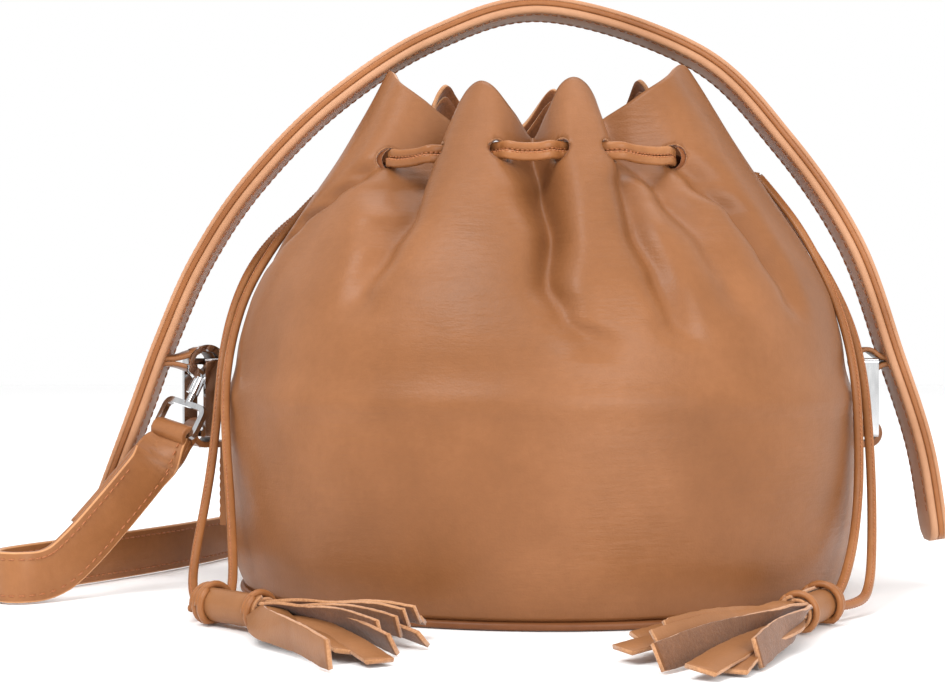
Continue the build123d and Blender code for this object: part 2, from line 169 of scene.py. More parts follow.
def suede(name, deep, middle, light, fuzz=0.00025, scale=900.0):
    """Raw suede or cut edge: matt, fibrous and uneven."""
    material, tree, shader, coords = new_material(name)
    fibres = noise_node(tree, coords, scale, 5.0, 0.7)
    clouds = noise_node(tree, coords, 70.0, 3.0)
    mixed = mixed_noise(tree, fibres, clouds, 0.6)
    colour = ramp_node(tree, mixed, ((0.35, deep), (0.5, middle), (0.66, light)))
    tree.links.new(colour, shader.inputs["Base Color"])
    shader.inputs["Roughness"].default_value = 0.9
    shader.inputs["Specular IOR Level"].default_value = 0.15
    shader.inputs["Sheen Weight"].default_value = 0.25
    shader.inputs["Sheen Roughness"].default_value = 0.5
    tree.links.new(bump_node(tree, fibres, fuzz, 0.8), shader.inputs["Normal"])
    return material


def polished_metal(name):
    """Bright plated metal with faint wipe marks."""
    material, tree, shader, coords = new_material(name)
    marks = noise_node(tree, coords, 380.0, 4.0, 0.6, stretch=(1.0, 1.0, 0.15))
    colour = ramp_node(tree, marks, ((0.3, srgb(176, 176, 178)), (0.7, srgb(204, 204, 204))))
    tree.links.new(colour, shader.inputs["Base Color"])
    roughness_from(tree, shader, marks, 0.1, 0.07)
    tree.links.new(bump_node(tree, marks, 0.00003, 0.3), shader.inputs["Normal"])
    shader.inputs["Metallic"].default_value = 1.0
    return material


def thread(name, deep, light):
    """Waxed sewing thread with a twist."""
    material, tree, shader, coords = new_material(name)
    twist = noise_node(tree, coords, 2400.0, 2.0)
    tree.links.new(ramp_node(tree, twist, ((0.3, deep), (0.7, light))), shader.inputs["Base Color"])
    shader.inputs["Roughness"].default_value = 0.55
    tree.links.new(bump_node(tree, twist, 0.0001, 0.6), shader.inputs["Normal"])
    return material


BODY_LEATHER = leather("body leather", srgb(114, 72, 41), srgb(124, 79, 46), srgb(135, 88, 54),
                       rough=0.42, crease=0.0009)
CUT_EDGE = suede("raw cut edge", srgb(140, 94, 60), srgb(170, 122, 84), srgb(190, 142, 104), 0.0002, 1600.0)
LINING = suede("suede lining", srgb(108, 62, 34), srgb(130, 78, 45), srgb(148, 92, 56))
BINDING = leather("binding leather", srgb(92, 52, 26), srgb(108, 64, 34), srgb(122, 76, 44), rough=0.45)
# Painted shade: a dark suede on the wall and base stiffeners that stands in for the shadow in the seams
SEAM_SHADOW = suede("seam shadow", srgb(60, 32, 20), srgb(74, 40, 26), srgb(90, 50, 32))
HANDLE_FACE = leather("handle leather", srgb(154, 108, 76), srgb(168, 122, 90), srgb(180, 134, 102),
                      rough=0.5, pebble=0.00002)
HANDLE_EDGE = leather("handle edge paint", srgb(120, 72, 38), srgb(136, 84, 46), srgb(150, 96, 56),
                      rough=0.36, grain=600.0, pebble=0.0001)
STRAP_LEATHER = leather("strap leather", srgb(118, 73, 41), srgb(134, 86, 50), srgb(148, 98, 60),
                        rough=0.4, crease=0.0004)
EDGE_PAINT = leather("strap edge paint", srgb(160, 108, 68), srgb(178, 126, 84), srgb(192, 142, 100),
                     rough=0.35)
LACE_LEATHER = leather("lace leather", srgb(120, 74, 40), srgb(138, 88, 50), srgb(160, 108, 68), rough=0.36)
TASSEL_FACE = leather("tassel leather", srgb(122, 79, 46), srgb(134, 89, 54), srgb(146, 100, 65),
                      rough=0.44, crease=0.0005)
TASSEL_BACK = suede("tassel suede", srgb(92, 57, 32), srgb(106, 67, 39), srgb(122, 79, 49))
THREAD = thread("sewing thread", srgb(128, 70, 32), srgb(164, 100, 54))
METAL = polished_metal("polished metal")


# ---------------------------------------------------------------- mesh helpers
def new_object(name, vertices, faces, materials, face_materials=None, smooth=True):
    """Mesh object from plain lists, with its materials and shading."""
    mesh = bpy.data.meshes.new(name)
    mesh.from_pydata([tuple(v) for v in vertices], [], faces)
    for material in materials:
        mesh.materials.append(material)
    if face_materials:
        mesh.polygons.foreach_set("material_index", face_materials)
    mesh.polygons.foreach_set("use_smooth", [smooth] * len(faces))
    mesh.validate()
    mesh.update()
    obj = bpy.data.objects.new(name, mesh)
    COLLECTION.objects.link(obj)
    return obj


def apply_modifiers(obj):
    """Replace the mesh by its modified one."""
    bpy.context.view_layer.update()
    evaluated = obj.evaluated_get(bpy.context.evaluated_depsgraph_get())
    mesh = bpy.data.meshes.new_from_object(evaluated)
    obj.modifiers.clear()
    obj.data = mesh
    return obj


def smoothstep(x):
    """Eased step from 0 to 1."""
    x = min(max(x, 0.0), 1.0)
    return x * x * (3 - 2 * x)


def interpolate(keys, x):
    """Eased values between sorted (x, value, ...) keys, clamped at the ends."""
    if x <= keys[0][0]:
        return keys[0][1:]
    for before, after in zip(keys, keys[1:]):
        if x <= after[0]:
            f = smoothstep((x - before[0]) / (after[0] - before[0]))
            return tuple(a + (b - a) * f for a, b in zip(before[1:], after[1:]))
    return keys[-1][1:]


def interpolate_line(keys, x):
    """Catmull-Rom value through sorted (x, value) keys."""
    for i in range(len(keys) - 1):
        if x <= keys[i + 1][0] or i == len(keys) - 2:
            (x0, a), (x1, b) = keys[i], keys[i + 1]
            before = keys[max(i - 1, 0)]
            after = keys[min(i + 2, len(keys) - 1)]
            t = (x - x0) / (x1 - x0)
            m0 = (b - before[1]) / (x1 - before[0]) * (x1 - x0)
            m1 = (after[1] - a) / (after[0] - x0) * (x1 - x0)
            return ((2 * t ** 3 - 3 * t ** 2 + 1) * a + (t ** 3 - 2 * t ** 2 + t) * m0
                    + (-2 * t ** 3 + 3 * t ** 2) * b + (t ** 3 - t ** 2) * m1)


def catmull(points, steps):
    """Smooth line through the points."""
    pts = [Vector(p) for p in points]
    ends = [pts[0] * 2 - pts[1]] + pts + [pts[-1] * 2 - pts[-2]]
    line = []
    for a, b, c, d in zip(ends, ends[1:], ends[2:], ends[3:]):
        for i in range(steps):
            t = i / steps
            line.append(0.5 * (2 * b + (c - a) * t + (2 * a - 5 * b + 4 * c - d) * t ** 2
                               + (3 * b - a - 3 * c + d) * t ** 3))
    line.append(pts[-1])
    return line


def length_of(line):
    """Length along a line."""
    return sum((b - a).length for a, b in zip(line, line[1:]))


def resample(line, pitch):
    """Points at an even pitch along a line."""
    total = length_of(line)
    count = max(2, round(total / pitch))
    out, walked, i = [], 0.0, 0
    for mark in (total * k / count for k in range(count + 1)):
        while i < len(line) - 2 and walked + (line[i + 1] - line[i]).length < mark:
            walked += (line[i + 1] - line[i]).length
            i += 1
        run = (line[i + 1] - line[i]).length or 1e-9
        out.append(line[i].lerp(line[i + 1], min(1.0, (mark - walked) / run)))
    return out


def rounded(width, height, radius, steps=3):
    """Rounded rectangle, as points from the middle."""
    points = []
    for quarter, (sx, sy) in enumerate(((1, 1), (-1, 1), (-1, -1), (1, -1))):
        for k in range(steps + 1):
            a = math.pi / 2 * (quarter + k / steps)
            points.append((sx * (width / 2 - radius) + radius * math.cos(a),
                           sy * (height / 2 - radius) + radius * math.sin(a)))
    return points


def turns(count):
    """Even angles of one turn."""
    return [2 * math.pi * k / count for k in range(count)]


def ellipse(width, height, count=12):
    """Ellipse, as points from the middle."""
    return [(width / 2 * math.cos(a), height / 2 * math.sin(a)) for a in turns(count)]


def frames(line, side):
    """Place, tangent, side and normal at each point. side is a vector or one vector for each point."""
    sides = side if isinstance(side, list) else [side] * len(line)
    result = []
    for i, point in enumerate(line):
        tangent = (line[min(i + 1, len(line) - 1)] - line[max(i - 1, 0)]).normalized()
        across = sides[i] - tangent * sides[i].dot(tangent)
        across.normalize()
        result.append((point, tangent, across, tangent.cross(across)))
    return result


def tube_faces(rows, count, ring=False):
    """Faces between rows of points: row by row, then both ends unless the tube is a ring."""
    faces = []
    for i in range(rows if ring else rows - 1):
        near, far = i * count, (i + 1) % rows * count
        faces += [(near + j, near + (j + 1) % count, far + (j + 1) % count, far + j) for j in range(count)]
    if not ring:
        faces.append(tuple(reversed(range(count))))
        faces.append(tuple(range((rows - 1) * count, rows * count)))
    return faces


def sweep(name, line, section, side, materials, material_of=None, ring=False, width_at=None):
    """Closed solid along a line. material_of gives a section edge's material, width_at the width's share."""
    vertices = []
    for i, (point, tangent, across, normal) in enumerate(frames(line, side)):
        k = width_at(i / (len(line) - 1)) if width_at else 1.0
        vertices += [point + across * a * k + normal * b for a, b in section]
    faces = tube_faces(len(line), len(section), ring)
    picks = [material_of(n % len(section)) if material_of else 0 for n in range(len(faces))]
    if not ring:
        picks[-2:] = [len(materials) - 1] * 2
    return new_object(name, vertices, faces, materials, picks)


# A stitch's outline: (share of its length from the middle, share of its radius)
STITCH = ((-0.5, 0.25), (-0.36, 0.85), (0.0, 1.0), (0.36, 0.85), (0.5, 0.25))
STITCH_SIDES = 6


def stitches(name, rows, length, radius):
    """Short rounded stitches. Each row is a list of (place, tangent) pairs."""
    vertices, faces = [], []
    tube = tube_faces(len(STITCH), STITCH_SIDES)
    for place, tangent in rows:
        helper = UP if abs(tangent.z) < 0.9 else Vector((1, 0, 0))
        u = tangent.cross(helper).normalized()
        v = tangent.cross(u)
        base = len(vertices)
        vertices += [place + tangent * length * f + (u * math.cos(a) + v * math.sin(a)) * radius * r
                     for f, r in STITCH for a in turns(STITCH_SIDES)]
        faces += [tuple(base + n for n in face) for face in tube]
    return new_object(name, vertices, faces, [THREAD])


def row_of_stitches(line, side, offset, rise, pitch, margin=0.0):
    """Places for one row, off the line by offset across and rise along the normal."""
    out = []
    for point, tangent, across, normal in frames(resample(line, pitch), side)[1:-1]:
        out.append((point + across * offset + normal * rise, tangent))
    skip = round(margin / pitch)
    return out[skip:len(out) - skip]


def nurbs_line(points):
    """The smooth line of a cord's route, read from its NURBS spline."""
    curve = bpy.data.curves.new("route", "CURVE")
    curve.dimensions = "3D"
    spline = curve.splines.new("NURBS")
    spline.points.add(len(points) - 1)
    for place, point in zip(spline.points, points):
        place.co = (*point, 1.0)
    spline.order_u = 3
    spline.use_endpoint_u = True
    spline.resolution_u = 10
    holder = bpy.data.objects.new("route", curve)
    COLLECTION.objects.link(holder)
    mesh = bpy.data.meshes.new_from_object(holder)
    line = [v.co.copy() for v in mesh.vertices]
    bpy.data.objects.remove(holder)
    return line


def polar(radius, degrees, z):
    """Point in metres from millimetres, at an angle from the front towards +X."""
    a = math.radians(degrees)
    return Vector((radius * math.sin(a), -radius * math.cos(a), z)) * MM


def flat_outward(point):
    """Level direction from the bag's axis to a point."""
    return Vector((point.x, point.y, 0)).normalized()


# ---------------------------------------------------------------- the gathered body
# Outline of the wall: (height, radius)
WALL = ((0.0, 104.2), (3.0, 106.0), (10.0, 108.8), (20.0, 110.8), (50.0, 112.0), (72.0, 110.9),
        (86.0, 108.4), (102.0, 103.6), (113.0, 98.2), (125.0, 91.4), (138.0, 83.4), (150.0, 75.6),
        (163.0, 67.4), (176.0, 59.6), (188.0, 52.6))
BODY_LOW = 2.6
# Each fold is a groove between ridges: (height, angle, depth, half width in degrees), from low to high.
# Angles run from the front towards +X.
FOLDS = (
    ((92, -35, 0, 5), (104, -36, 3.6, 3.6), (116, -35, 8.5, 4.2), (128, -35, 14.5, 5.4), (140, -39, 22, 7.6),
     (152, -41, 26, 8.6), (188, -41, 24, 12)),
    ((112, -88, 0, 5), (119, -82, 2.4, 4.2), (128, -72, 4.6, 4.4), (136, -62, 5.6, 4.6), (144, -55, 6.4, 5),
     (152, -50, 2, 6), (188, -50, 0, 6)),
    ((80, 7, 0, 6), (88, 6.5, 3.2, 4.2), (95, 2, 4.6, 3), (106, -0.5, 9, 3), (120, 0.6, 14.5, 3.4),
     (136, -1.6, 20.5, 4.6), (152, -4.5, 24, 6), (188, -4.5, 24, 9)),
    ((84, 24, 0, 4), (94, 21.5, 3.6, 3), (108, 20, 6, 3), (122, 18, 8, 3.2), (138, 19, 10.5, 4),
     (150, 23, 7, 5), (188, 24, 0, 6)),
    ((94, 35, 0, 4), (104, 35, 2.4, 4), (118, 33.6, 4.5, 4.4), (134, 31, 12, 6.4), (150, 29, 21, 8.2),
     (188, 25, 20, 10)),
    ((92, 52, 0, 3), (104, 51.4, 3.4, 3.2), (116, 50.4, 6.6, 3.6), (130, 49, 9, 4.2), (140, 44, 10, 6),
     (154, 38, 7, 8), (188, 36, 2, 8)),
    ((84, 104, 0, 7), (104, 106, 5, 7), (124, 107, 13, 8), (150, 109, 24, 8), (188, 109, 22, 11)),
    ((80, 150, 0, 6), (104, 151, 6, 5), (124, 152, 14, 7), (150, 153, 24, 8), (188, 153, 22, 11)),
    ((86, 200, 0, 6), (104, 198, 5, 5), (124, 197, 12, 6), (150, 197, 24, 8), (188, 197, 22, 11)),
    ((82, 243, 0, 7), (104, 243, 6, 7), (124, 242, 13, 8), (150, 242, 24, 9), (188, 242, 22, 12)),
    ((84, 131, 0, 4), (100, 130, 2.5, 4), (118, 131, 2, 4), (130, 131, 0, 4)),
    ((84, 221, 0, 4), (100, 220, 2.5, 4), (118, 219, 2, 4), (130, 219, 0, 4)),
)
# The rim's peaks and valleys: (angle, height), once round from RIM_FROM
RIM_FROM = -107
RIM = ((-107, 173), (-97, 178), (-88, 183.2), (-80, 184.6), (-72, 183.4), (-62, 179.4), (-56, 175.8),
       (-51, 171.4), (-46, 165.6), (-41, 161), (-35, 162.6), (-31, 166), (-26.5, 172.2), (-21.5, 174.8),
       (-16.5, 172.4), (-10.5, 164.4), (-4.5, 156.4), (0.5, 164), (4.8, 172.8), (9.5, 175.8), (14.5, 173.4),
       (19, 167.6), (24, 162.4), (28, 163.6), (34, 168.4), (41, 174.8), (50, 180.2), (60, 184), (68, 185.2),
       (76, 184), (92, 174), (109, 166), (120, 180), (131, 188), (142, 176), (153, 160), (163, 178),
       (172, 187), (184, 174), (197, 163), (210, 179), (221, 187), (232, 176), (242, 165), (253, 173))
# Angles of the drawstring holes, round the neck
HOLES = (-51, -31, -12, 3, 17, 41, 99, 119, 143, 163, 187, 207, 231, 253)
NECK_Z = 150.0
HOLE_R = 4.5
RIM_SHARE = 0.62        # the share of the wall above which it follows the rim
FOLD_REACH = 3.2        # half widths over which a fold is drawn
SOFT_FROM, SOFT_OVER = 70, 40        # above the stiffener the leather goes soft
BREAK_RIDGE = (69, 4.5, 0.9)         # height, spread and rise of the line over the stiffener
BREAK_HOLLOW = (79, 6.0, 0.7)        # height, spread and depth of the hollow above it
DENT = (-66, 7, 38, 24, 0.8)         # angle, its spread, height, its spread and depth
HIDE = 1.5        # thickness of the wall leather
LINING_HIDE, LINING_INSET, LINING_SHARE = 0.7, 2.4, 0.975


def turn_between(a, b):
    """Signed difference of two angles in degrees."""
    return (a - b + 180) % 360 - 180


def rim_height(angle):
    """Height of the raw rim: slopes between peaks and valleys."""
    return interpolate_line(RIM, (angle - RIM_FROM) % 360 + RIM_FROM)


def bell(x, width):
    """Bell curve of height 1."""
    return math.exp(-(x / width) ** 2)


def wall_point(angle, share, inset=0.0):
    """Point on the wall, inset in millimetres. share runs from 0 at the base to 1 at the rim."""
    top = WALL[-1][0]
    z = BODY_LOW + (top - BODY_LOW) * share
    z += (rim_height(angle) - top) * smoothstep((share - RIM_SHARE) / (1 - RIM_SHARE))
    radius = interpolate_line(WALL, z)
    for keys in FOLDS:
        if z <= keys[0][0]:
            continue
        at, depth, width = interpolate(keys, z)
        off = turn_between(angle, at) / width
        if abs(off) < FOLD_REACH:
            radius -= depth * bell(off, 1) * (1 - 0.12 * smoothstep(abs(off)))
    a = math.radians(angle)
    round_x, round_y = math.sin(a), math.cos(a)
    soft = smoothstep((z - SOFT_FROM) / SOFT_OVER)
    where = Vector((round_x * 2.2, round_y * 2.2, z * 0.022))
    radius += soft * 1.5 * noise.noise(where) + soft * 0.5 * noise.noise(where * 2.7 + Vector((3, 1, 7)))
    at, spread, rise = BREAK_RIDGE
    radius += rise * bell(z - at, spread)
    at, spread, depth = BREAK_HOLLOW
    radius -= depth * bell(z - at, spread)
    radius += 0.35 * noise.noise(Vector((round_x * 1.3, round_y * 1.3, z * 0.012 + 9)))
    at, spread, height, height_spread, depth = DENT
    radius -= depth * bell(turn_between(angle, at), spread) * bell(z - height, height_spread)
    return polar(radius - inset, angle, z)


def share_at(angle, z):
    """The share of the wall at which it reaches a height at an angle."""
    low, high = 0.0, 1.0
    for _ in range(24):
        middle = (low + high) / 2
        if wall_point(angle, middle).z < z * MM:
            low = middle
        else:
            high = middle
    return low


HOLE_BAND = 8.0        # faces this near the neck's height are tested against the holes
HOLE_SNAP = 1.5        # points within this share of a hole's radius are pulled onto its edge


def wall_shell(name, materials, thickness, inset, top_share, columns, rows):
    """The wall as a closed sheet of some thickness, with its drawstring holes."""
    grid = [[wall_point(360 * j / columns - 180, top_share * i / rows, inset) for j in range(columns)]
            for i in range(rows + 1)]
    vertices = [v for row in grid for v in row]
    middles = [wall_point(h, share_at(h, NECK_Z), inset) for h in HOLES]
    faces = []
    for i in range(rows):
        for j in range(columns):
            k = (j + 1) % columns
            face = (i * columns + j, i * columns + k, (i + 1) * columns + k, (i + 1) * columns + j)
            centre = sum((vertices[v] for v in face), Vector()) / 4
            near = abs(centre.z - NECK_Z * MM) < HOLE_BAND * MM
            if not (near and any((centre - m).length < HOLE_R * MM for m in middles)):
                faces.append(face)
    used = {}
    for face in faces:
        for v in face:
            used[v] = used.get(v, 0) + 1
    for v, count in used.items():
        if count < 4 and columns <= v < rows * columns:
            middle = min(middles, key=lambda m: (m - vertices[v]).length)
            away = vertices[v] - middle
            if away.length < HOLE_R * MM * HOLE_SNAP:
                vertices[v] = middle + away.normalized() * HOLE_R * MM
    order = {v: n for n, v in enumerate(sorted(used))}
    obj = new_object(name, [vertices[v] for v in sorted(used)], [tuple(order[v] for v in f) for f in faces],
                     materials)
    solid = obj.modifiers.new("thickness", "SOLIDIFY")
    solid.thickness = thickness
    solid.offset = -1.0
    solid.use_even_offset = False
    solid.material_offset = 1
    solid.material_offset_rim = 2
    return apply_modifiers(obj)


COLUMNS, ROWS = ((600, 130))
body = wall_shell("body_wall", [BODY_LEATHER, LINING, CUT_EDGE], HIDE * MM, 0.0, 1.0, COLUMNS, ROWS)
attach(body, "bag")
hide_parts("body_leather")

lining = wall_shell("suede_lining", [LINING, LINING, CUT_EDGE], LINING_HIDE * MM, LINING_INSET, LINING_SHARE,
                    240, 80)
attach(lining, "bag")
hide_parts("lining")

# The sheet's flat size: its girth a quarter of the way up, by its length up the side
girth = length_of([wall_point(a, 0.25) for a in range(361)])
rise = length_of([wall_point(60, k / 40) for k in range(41)])

# Rounded binding round the base
BINDING_W, BINDING_H = 3.0 * MM, 2.5 * MM
BINDING_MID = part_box("base_binding")[1].x - 0.9 * MM
ring = [Vector((BINDING_MID * math.cos(a), BINDING_MID * math.sin(a), 1.3 * MM)) for a in turns(240)]
radial = [flat_outward(p) for p in ring]
section = rounded(BINDING_W, BINDING_H, 1.1 * MM, 4)
binding = sweep("binding_band", ring, section, radial, [BINDING], ring=True)
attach(binding, "bag")
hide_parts("base_binding")

# Nodes that keep their CAD mesh
PLAIN = {"base_panel": BODY_LEATHER, "wall_stiffener": SEAM_SHADOW, "base_stiffener": SEAM_SHADOW,
         "side_tab": STRAP_LEATHER, "side_ring": METAL, "hook_": METAL, "gate_pin": METAL}
for node, obj in NODES.items():
    for start, material in PLAIN.items():
        if node.startswith(start):
            obj.data.materials.clear()
            obj.data.materials.append(material)


# ---------------------------------------------------------------- the arched handle
# The arch's outer line, from its left end over the top: (x, z)
HANDLE_LINE = ((-160.5, 28.6), (-147.3, 64.0), (-137.7, 90.0), (-125.1, 118.3), (-106.3, 146.6),
               (-77.0, 176.5), (-39.4, 200.7), (3.0, 211.6), (58.6, 193.9), (91.0, 162.0), (115.9, 124.9),
               (130.7, 83.9), (141.3, 50.8), (147.0, 17.0))
HANDLE_W = 19.0
HANDLE_END = 8 * MM
HANDLE_FULL = 6.1        # depth of the inner face
ARCH = resample(catmull([(x * MM, 0, z * MM) for x, z in HANDLE_LINE], 14), 2.5 * MM)
ACROSS = Vector((0, 1, 0))


def inset_line(depth):
    """The arch moved inwards, towards the bag."""
    middle = Vector((0, 0, 0.07))
    return [point + (normal if normal.dot(middle - point) > 0 else -normal) * depth * MM
            for point, tangent, across, normal in frames(ARCH, ACROSS)]


def handle_taper(t):
    """Share of the handle's width, for its rounded ends."""
    edge = min(t, 1 - t) * length_of(ARCH) / HANDLE_END
    return 1.0 if edge >= 1 else 0.45 + 0.55 * math.sqrt(max(0.0, 1 - (1 - edge) ** 2))


# Layers: name, depth of its middle, width, thickness, edge radius, material, CAD node and slot
HANDLE_LAYERS = (
    ("handle_top_leather", 0.75, HANDLE_W, 1.5, 0.5, HANDLE_FACE, "handle_outer", "handle_leather"),
    ("handle_painted_core", 2.35, HANDLE_W - 0.1, 1.9, 0.5, HANDLE_EDGE, "handle_core", "handle_edge"),
    ("handle_under_leather", 4.7, HANDLE_W, 3.0, 1.2, HANDLE_FACE, "handle_inner", "handle_leather"))
for name, depth, width, thickness, radius, material, node, slot in HANDLE_LAYERS:
    section = rounded(width * MM, thickness * MM, radius * MM)
    layer = sweep(name, inset_line(depth), section, ACROSS, [material], width_at=handle_taper)
    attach(layer, "handle")
    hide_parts(node)
HANDLE_SEAM = (HANDLE_W / 2 - 2.4) * MM
for name, depth in (("handle_stitches_outer", -0.05), ("handle_stitches_inner", 6.25)):
    rows = []
    for side in (-1, 1):
        rows += row_of_stitches(inset_line(depth), ACROSS, side * HANDLE_SEAM, 0, 3.1 * MM, 9 * MM)
    seam = stitches(name, rows, 2.3 * MM, 0.34 * MM)
    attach(seam, "handle")


# ---------------------------------------------------------------- loops from the rings to the handle
def limb_x(z, sign):
    """The handle's inner face at a height."""
    limb = [p for p in inset_line(HANDLE_FULL) if p.x * sign > 0]
    return min(limb, key=lambda p: abs(p.z - z)).x


LOOP = rounded(11.4 * MM, 1.7 * MM, 0.6 * MM, 2)
LOOP_R = 4.3 * MM
LOOP_SINK = 0.8 * MM        # how far the loop's ends sink into the handle
# For each side: its sign, the level direction out of the ring, and the direction of its bar
RINGS = {"left": (-1, Vector((-0.883, -0.469, 0)), Vector((0.469, -0.883, 0))),
         "right": (1, Vector((1, 0, 0)), Vector((0, 1, 0)))}
TAB_FACE = 115.0        # distance of the tabs' stitches from the middle
for side, (sign, turn, along) in RINGS.items():
    ring_low, ring_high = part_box(f"side_ring_{side}")
    bar = Vector(((ring_low.x + ring_high.x) / 2, (ring_low.y + ring_high.y) / 2, ring_high.z - 1.1 * MM))
    reach = abs(limb_x(bar.z, sign) - bar.x) + LOOP_SINK
    around = [bar + (turn * math.cos(t) + UP * math.sin(t)) * LOOP_R
              for t in (math.radians(312 - 264 * k / 16) for k in range(17))]
    under = [bar + Vector((sign * reach * k, 0, -h * MM)) for k, h in ((1.0, 0.95), (0.66, 1.5))]
    over = [bar + Vector((sign * reach * k, 0, h * MM)) for k, h in ((0.66, 1.5), (1.0, 0.95))]
    wrapped = resample(catmull([*under, *around, *over], 3), 0.9 * MM)
    loop = sweep(f"ring_loop_{side}", wrapped, LOOP, along, [STRAP_LEATHER])
    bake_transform(loop)
    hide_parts(f"handle_loop_{side}")
    rows = [(Vector((sign * TAB_FACE, y, 24.5 + 2.9 * k)) * MM, UP) for y in (-4.0, 4.0) for k in range(8)]
    rows += [(Vector((sign * TAB_FACE, -2.6 + 2.6 * k, 23.6)) * MM, ACROSS) for k in range(3)]
    seam = stitches(f"tab_stitches_{side}", rows, 2.1 * MM, 0.32 * MM)
    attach(seam, "bag")


# ---------------------------------------------------------------- drawstring and lace tails
LACE = rounded(3.1 * MM, 2.5 * MM, 1.05 * MM)
LACE_PITCH = 1.5 * MM        # from stitch to stitch
LACE_STITCH = 1.25 * MM


def hole_point(angle, z, offset):
    """Place beside the wall at a height, offset outwards in millimetres."""
    return wall_point(angle, share_at(angle, z), -offset)


# The free ends: (radius, angle, height) from the drawstring hole down, then (x, y, height) at the tassel
TAIL_KEYS = {
    "lace_tail_left_front": ((
        (81.5, 250.4, 145.2), (88.5, 255.0, 138.0), (97.5, 261.0, 128.5), (105.0, 267.0, 116.0),
        (110.2, 272.6, 101.0), (113.6, 278.0, 84.0), (115.6, 282.2, 65.0), (118.0, 284.8, 46.5),
        (121.5, 287.4, 30.5), (126.4, 292.0, 17.0), (131.8, 298.2, 8.0), (135.8, 304.2, 3.6)),
        (-111.8, -88.4, 4.4)),
    "lace_tail_left_back": ((
        (81.5, 255.5, 145.4), (89.8, 261.0, 135.0), (97.4, 267.5, 122.0), (105.4, 273.5, 106.0),
        (110.4, 279.8, 89.5), (114.1, 286.0, 71.5), (115.2, 290.6, 52.5), (115.9, 294.5, 35.0),
        (118.0, 298.6, 20.0), (121.6, 303.0, 10.5), (127.0, 306.6, 5.4)),
        (-104.4, -82.4, 5.4)),
    "lace_tail_right_front": ((
        (81.5, 95.2, 148.4), (87.0, 92.0, 140.5), (94.8, 87.5, 128.0), (102.6, 82.0, 111.0),
        (109.0, 76.0, 93.5), (113.6, 70.5, 75.0), (115.5, 67.8, 56.0), (116.6, 65.0, 38.0),
        (117.7, 60.0, 22.0), (119.4, 54.0, 11.0), (121.4, 48.8, 6.0)),
        (85.2, -83.0, 6.4)),
    "lace_tail_right_back": ((
        (81.8, 98.8, 147.6), (88.0, 97.0, 139.0), (96.8, 92.2, 126.5), (105.0, 86.8, 110.0),
        (111.6, 80.8, 93.0), (115.6, 75.4, 75.0), (117.6, 72.2, 56.5), (119.2, 69.4, 38.5),
        (121.2, 64.6, 21.0), (124.2, 58.6, 8.5), (126.2, 53.0, 4.0)),
        (90.8, -85.6, 4.6)),
}
TAILS = {node: [*(polar(*key) for key in keys), Vector(last) * MM]
         for node, (keys, last) in TAIL_KEYS.items()}


# How far a lace stands off the straight line between two holes
LACE_BACK, LACE_LIP, LACE_FRONT, LACE_INSIDE, LACE_SAG = 1.6, 1.7, 2.3, 5.5, 0.8
LACE_OFF_NECK = 1.6        # each lace's height from the middle of the holes
LONG_STEP = 30             # degrees between holes from which the inside run takes more points


def woven(side, level, exit_hole):
    """Lace outside over the valleys and inside under the ridges, once round, from one tail to the other."""
    start = HOLES.index(exit_hole)
    order = [HOLES[(start - k) % len(HOLES)] for k in range(len(HOLES) + 1)]
    points = [TAILS[f"lace_tail_{side}_front"][0]]
    for here, after in zip(order, order[1:]):
        a, b = hole_point(here, level, 0), hole_point(after, level, 0)
        out = flat_outward(a + b) * MM
        if HOLES.index(here) % 2:
            points += [a - out * LACE_BACK, a.lerp(b, 0.13) + out * LACE_LIP]
            points += [a.lerp(b, f) + out * LACE_FRONT - UP * LACE_SAG * MM * math.sin(math.pi * f)
                       for f in (0.3, 0.5, 0.7)]
            points += [a.lerp(b, 0.87) + out * LACE_LIP, b - out * LACE_BACK]
        else:
            steps = 2 if (here - after) % 360 < LONG_STEP else 4
            points += [hole_point(here - 2, level, -5),
                       *[a.lerp(b, f / steps) - out * LACE_INSIDE for f in range(1, steps)],
                       hole_point(after + 2, level, -5)]
    points.append(TAILS[f"lace_tail_{side}_back"][0])
    line = resample(catmull(points, 6), 1.2 * MM)
    lace = sweep(f"lace_loop_{side}", line, LACE, UP, [LACE_LEATHER])
    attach(lace, "bag")
    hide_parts(f"drawstring_loop_{side}")
    edge = -1.15 * MM if level > NECK_Z else 1.15 * MM
    ribs = row_of_stitches(line, UP, edge, -0.95 * MM, LACE_PITCH)
    seam = stitches(f"{lace.name}_stitches", ribs, LACE_STITCH, 0.34 * MM)
    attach(seam, "bag")


woven("left", NECK_Z - LACE_OFF_NECK, 253)
woven("right", NECK_Z + LACE_OFF_NECK, 99)


def tail(node, pieces):
    """Free end of a lace. The pieces argument is not used."""
    line = resample(nurbs_line(TAILS[node]), 1.3 * MM)
    outward = [flat_outward(p) for p in line]
    lace = sweep(node.replace("lace_tail", "lace_end"), line, LACE, outward, [LACE_LEATHER])
    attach(lace, "bag")
    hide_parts(node)
    ribs = row_of_stitches(line, outward, 0.9 * MM, 1.1 * MM, LACE_PITCH)
    ribs += row_of_stitches(line, outward, 0.9 * MM, -1.1 * MM, LACE_PITCH)
    seam = stitches(f"{lace.name}_stitches", ribs, LACE_STITCH, 0.3 * MM)
    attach(seam, "bag")


# ---------------------------------------------------------------- tassels
# Ends of each rolled head, on the floor
HEADS = {"left": ((-108.0, -89.5), (-86.5, -110.5)), "right": ((87.0, -88.6), (73.0, -113.0))}
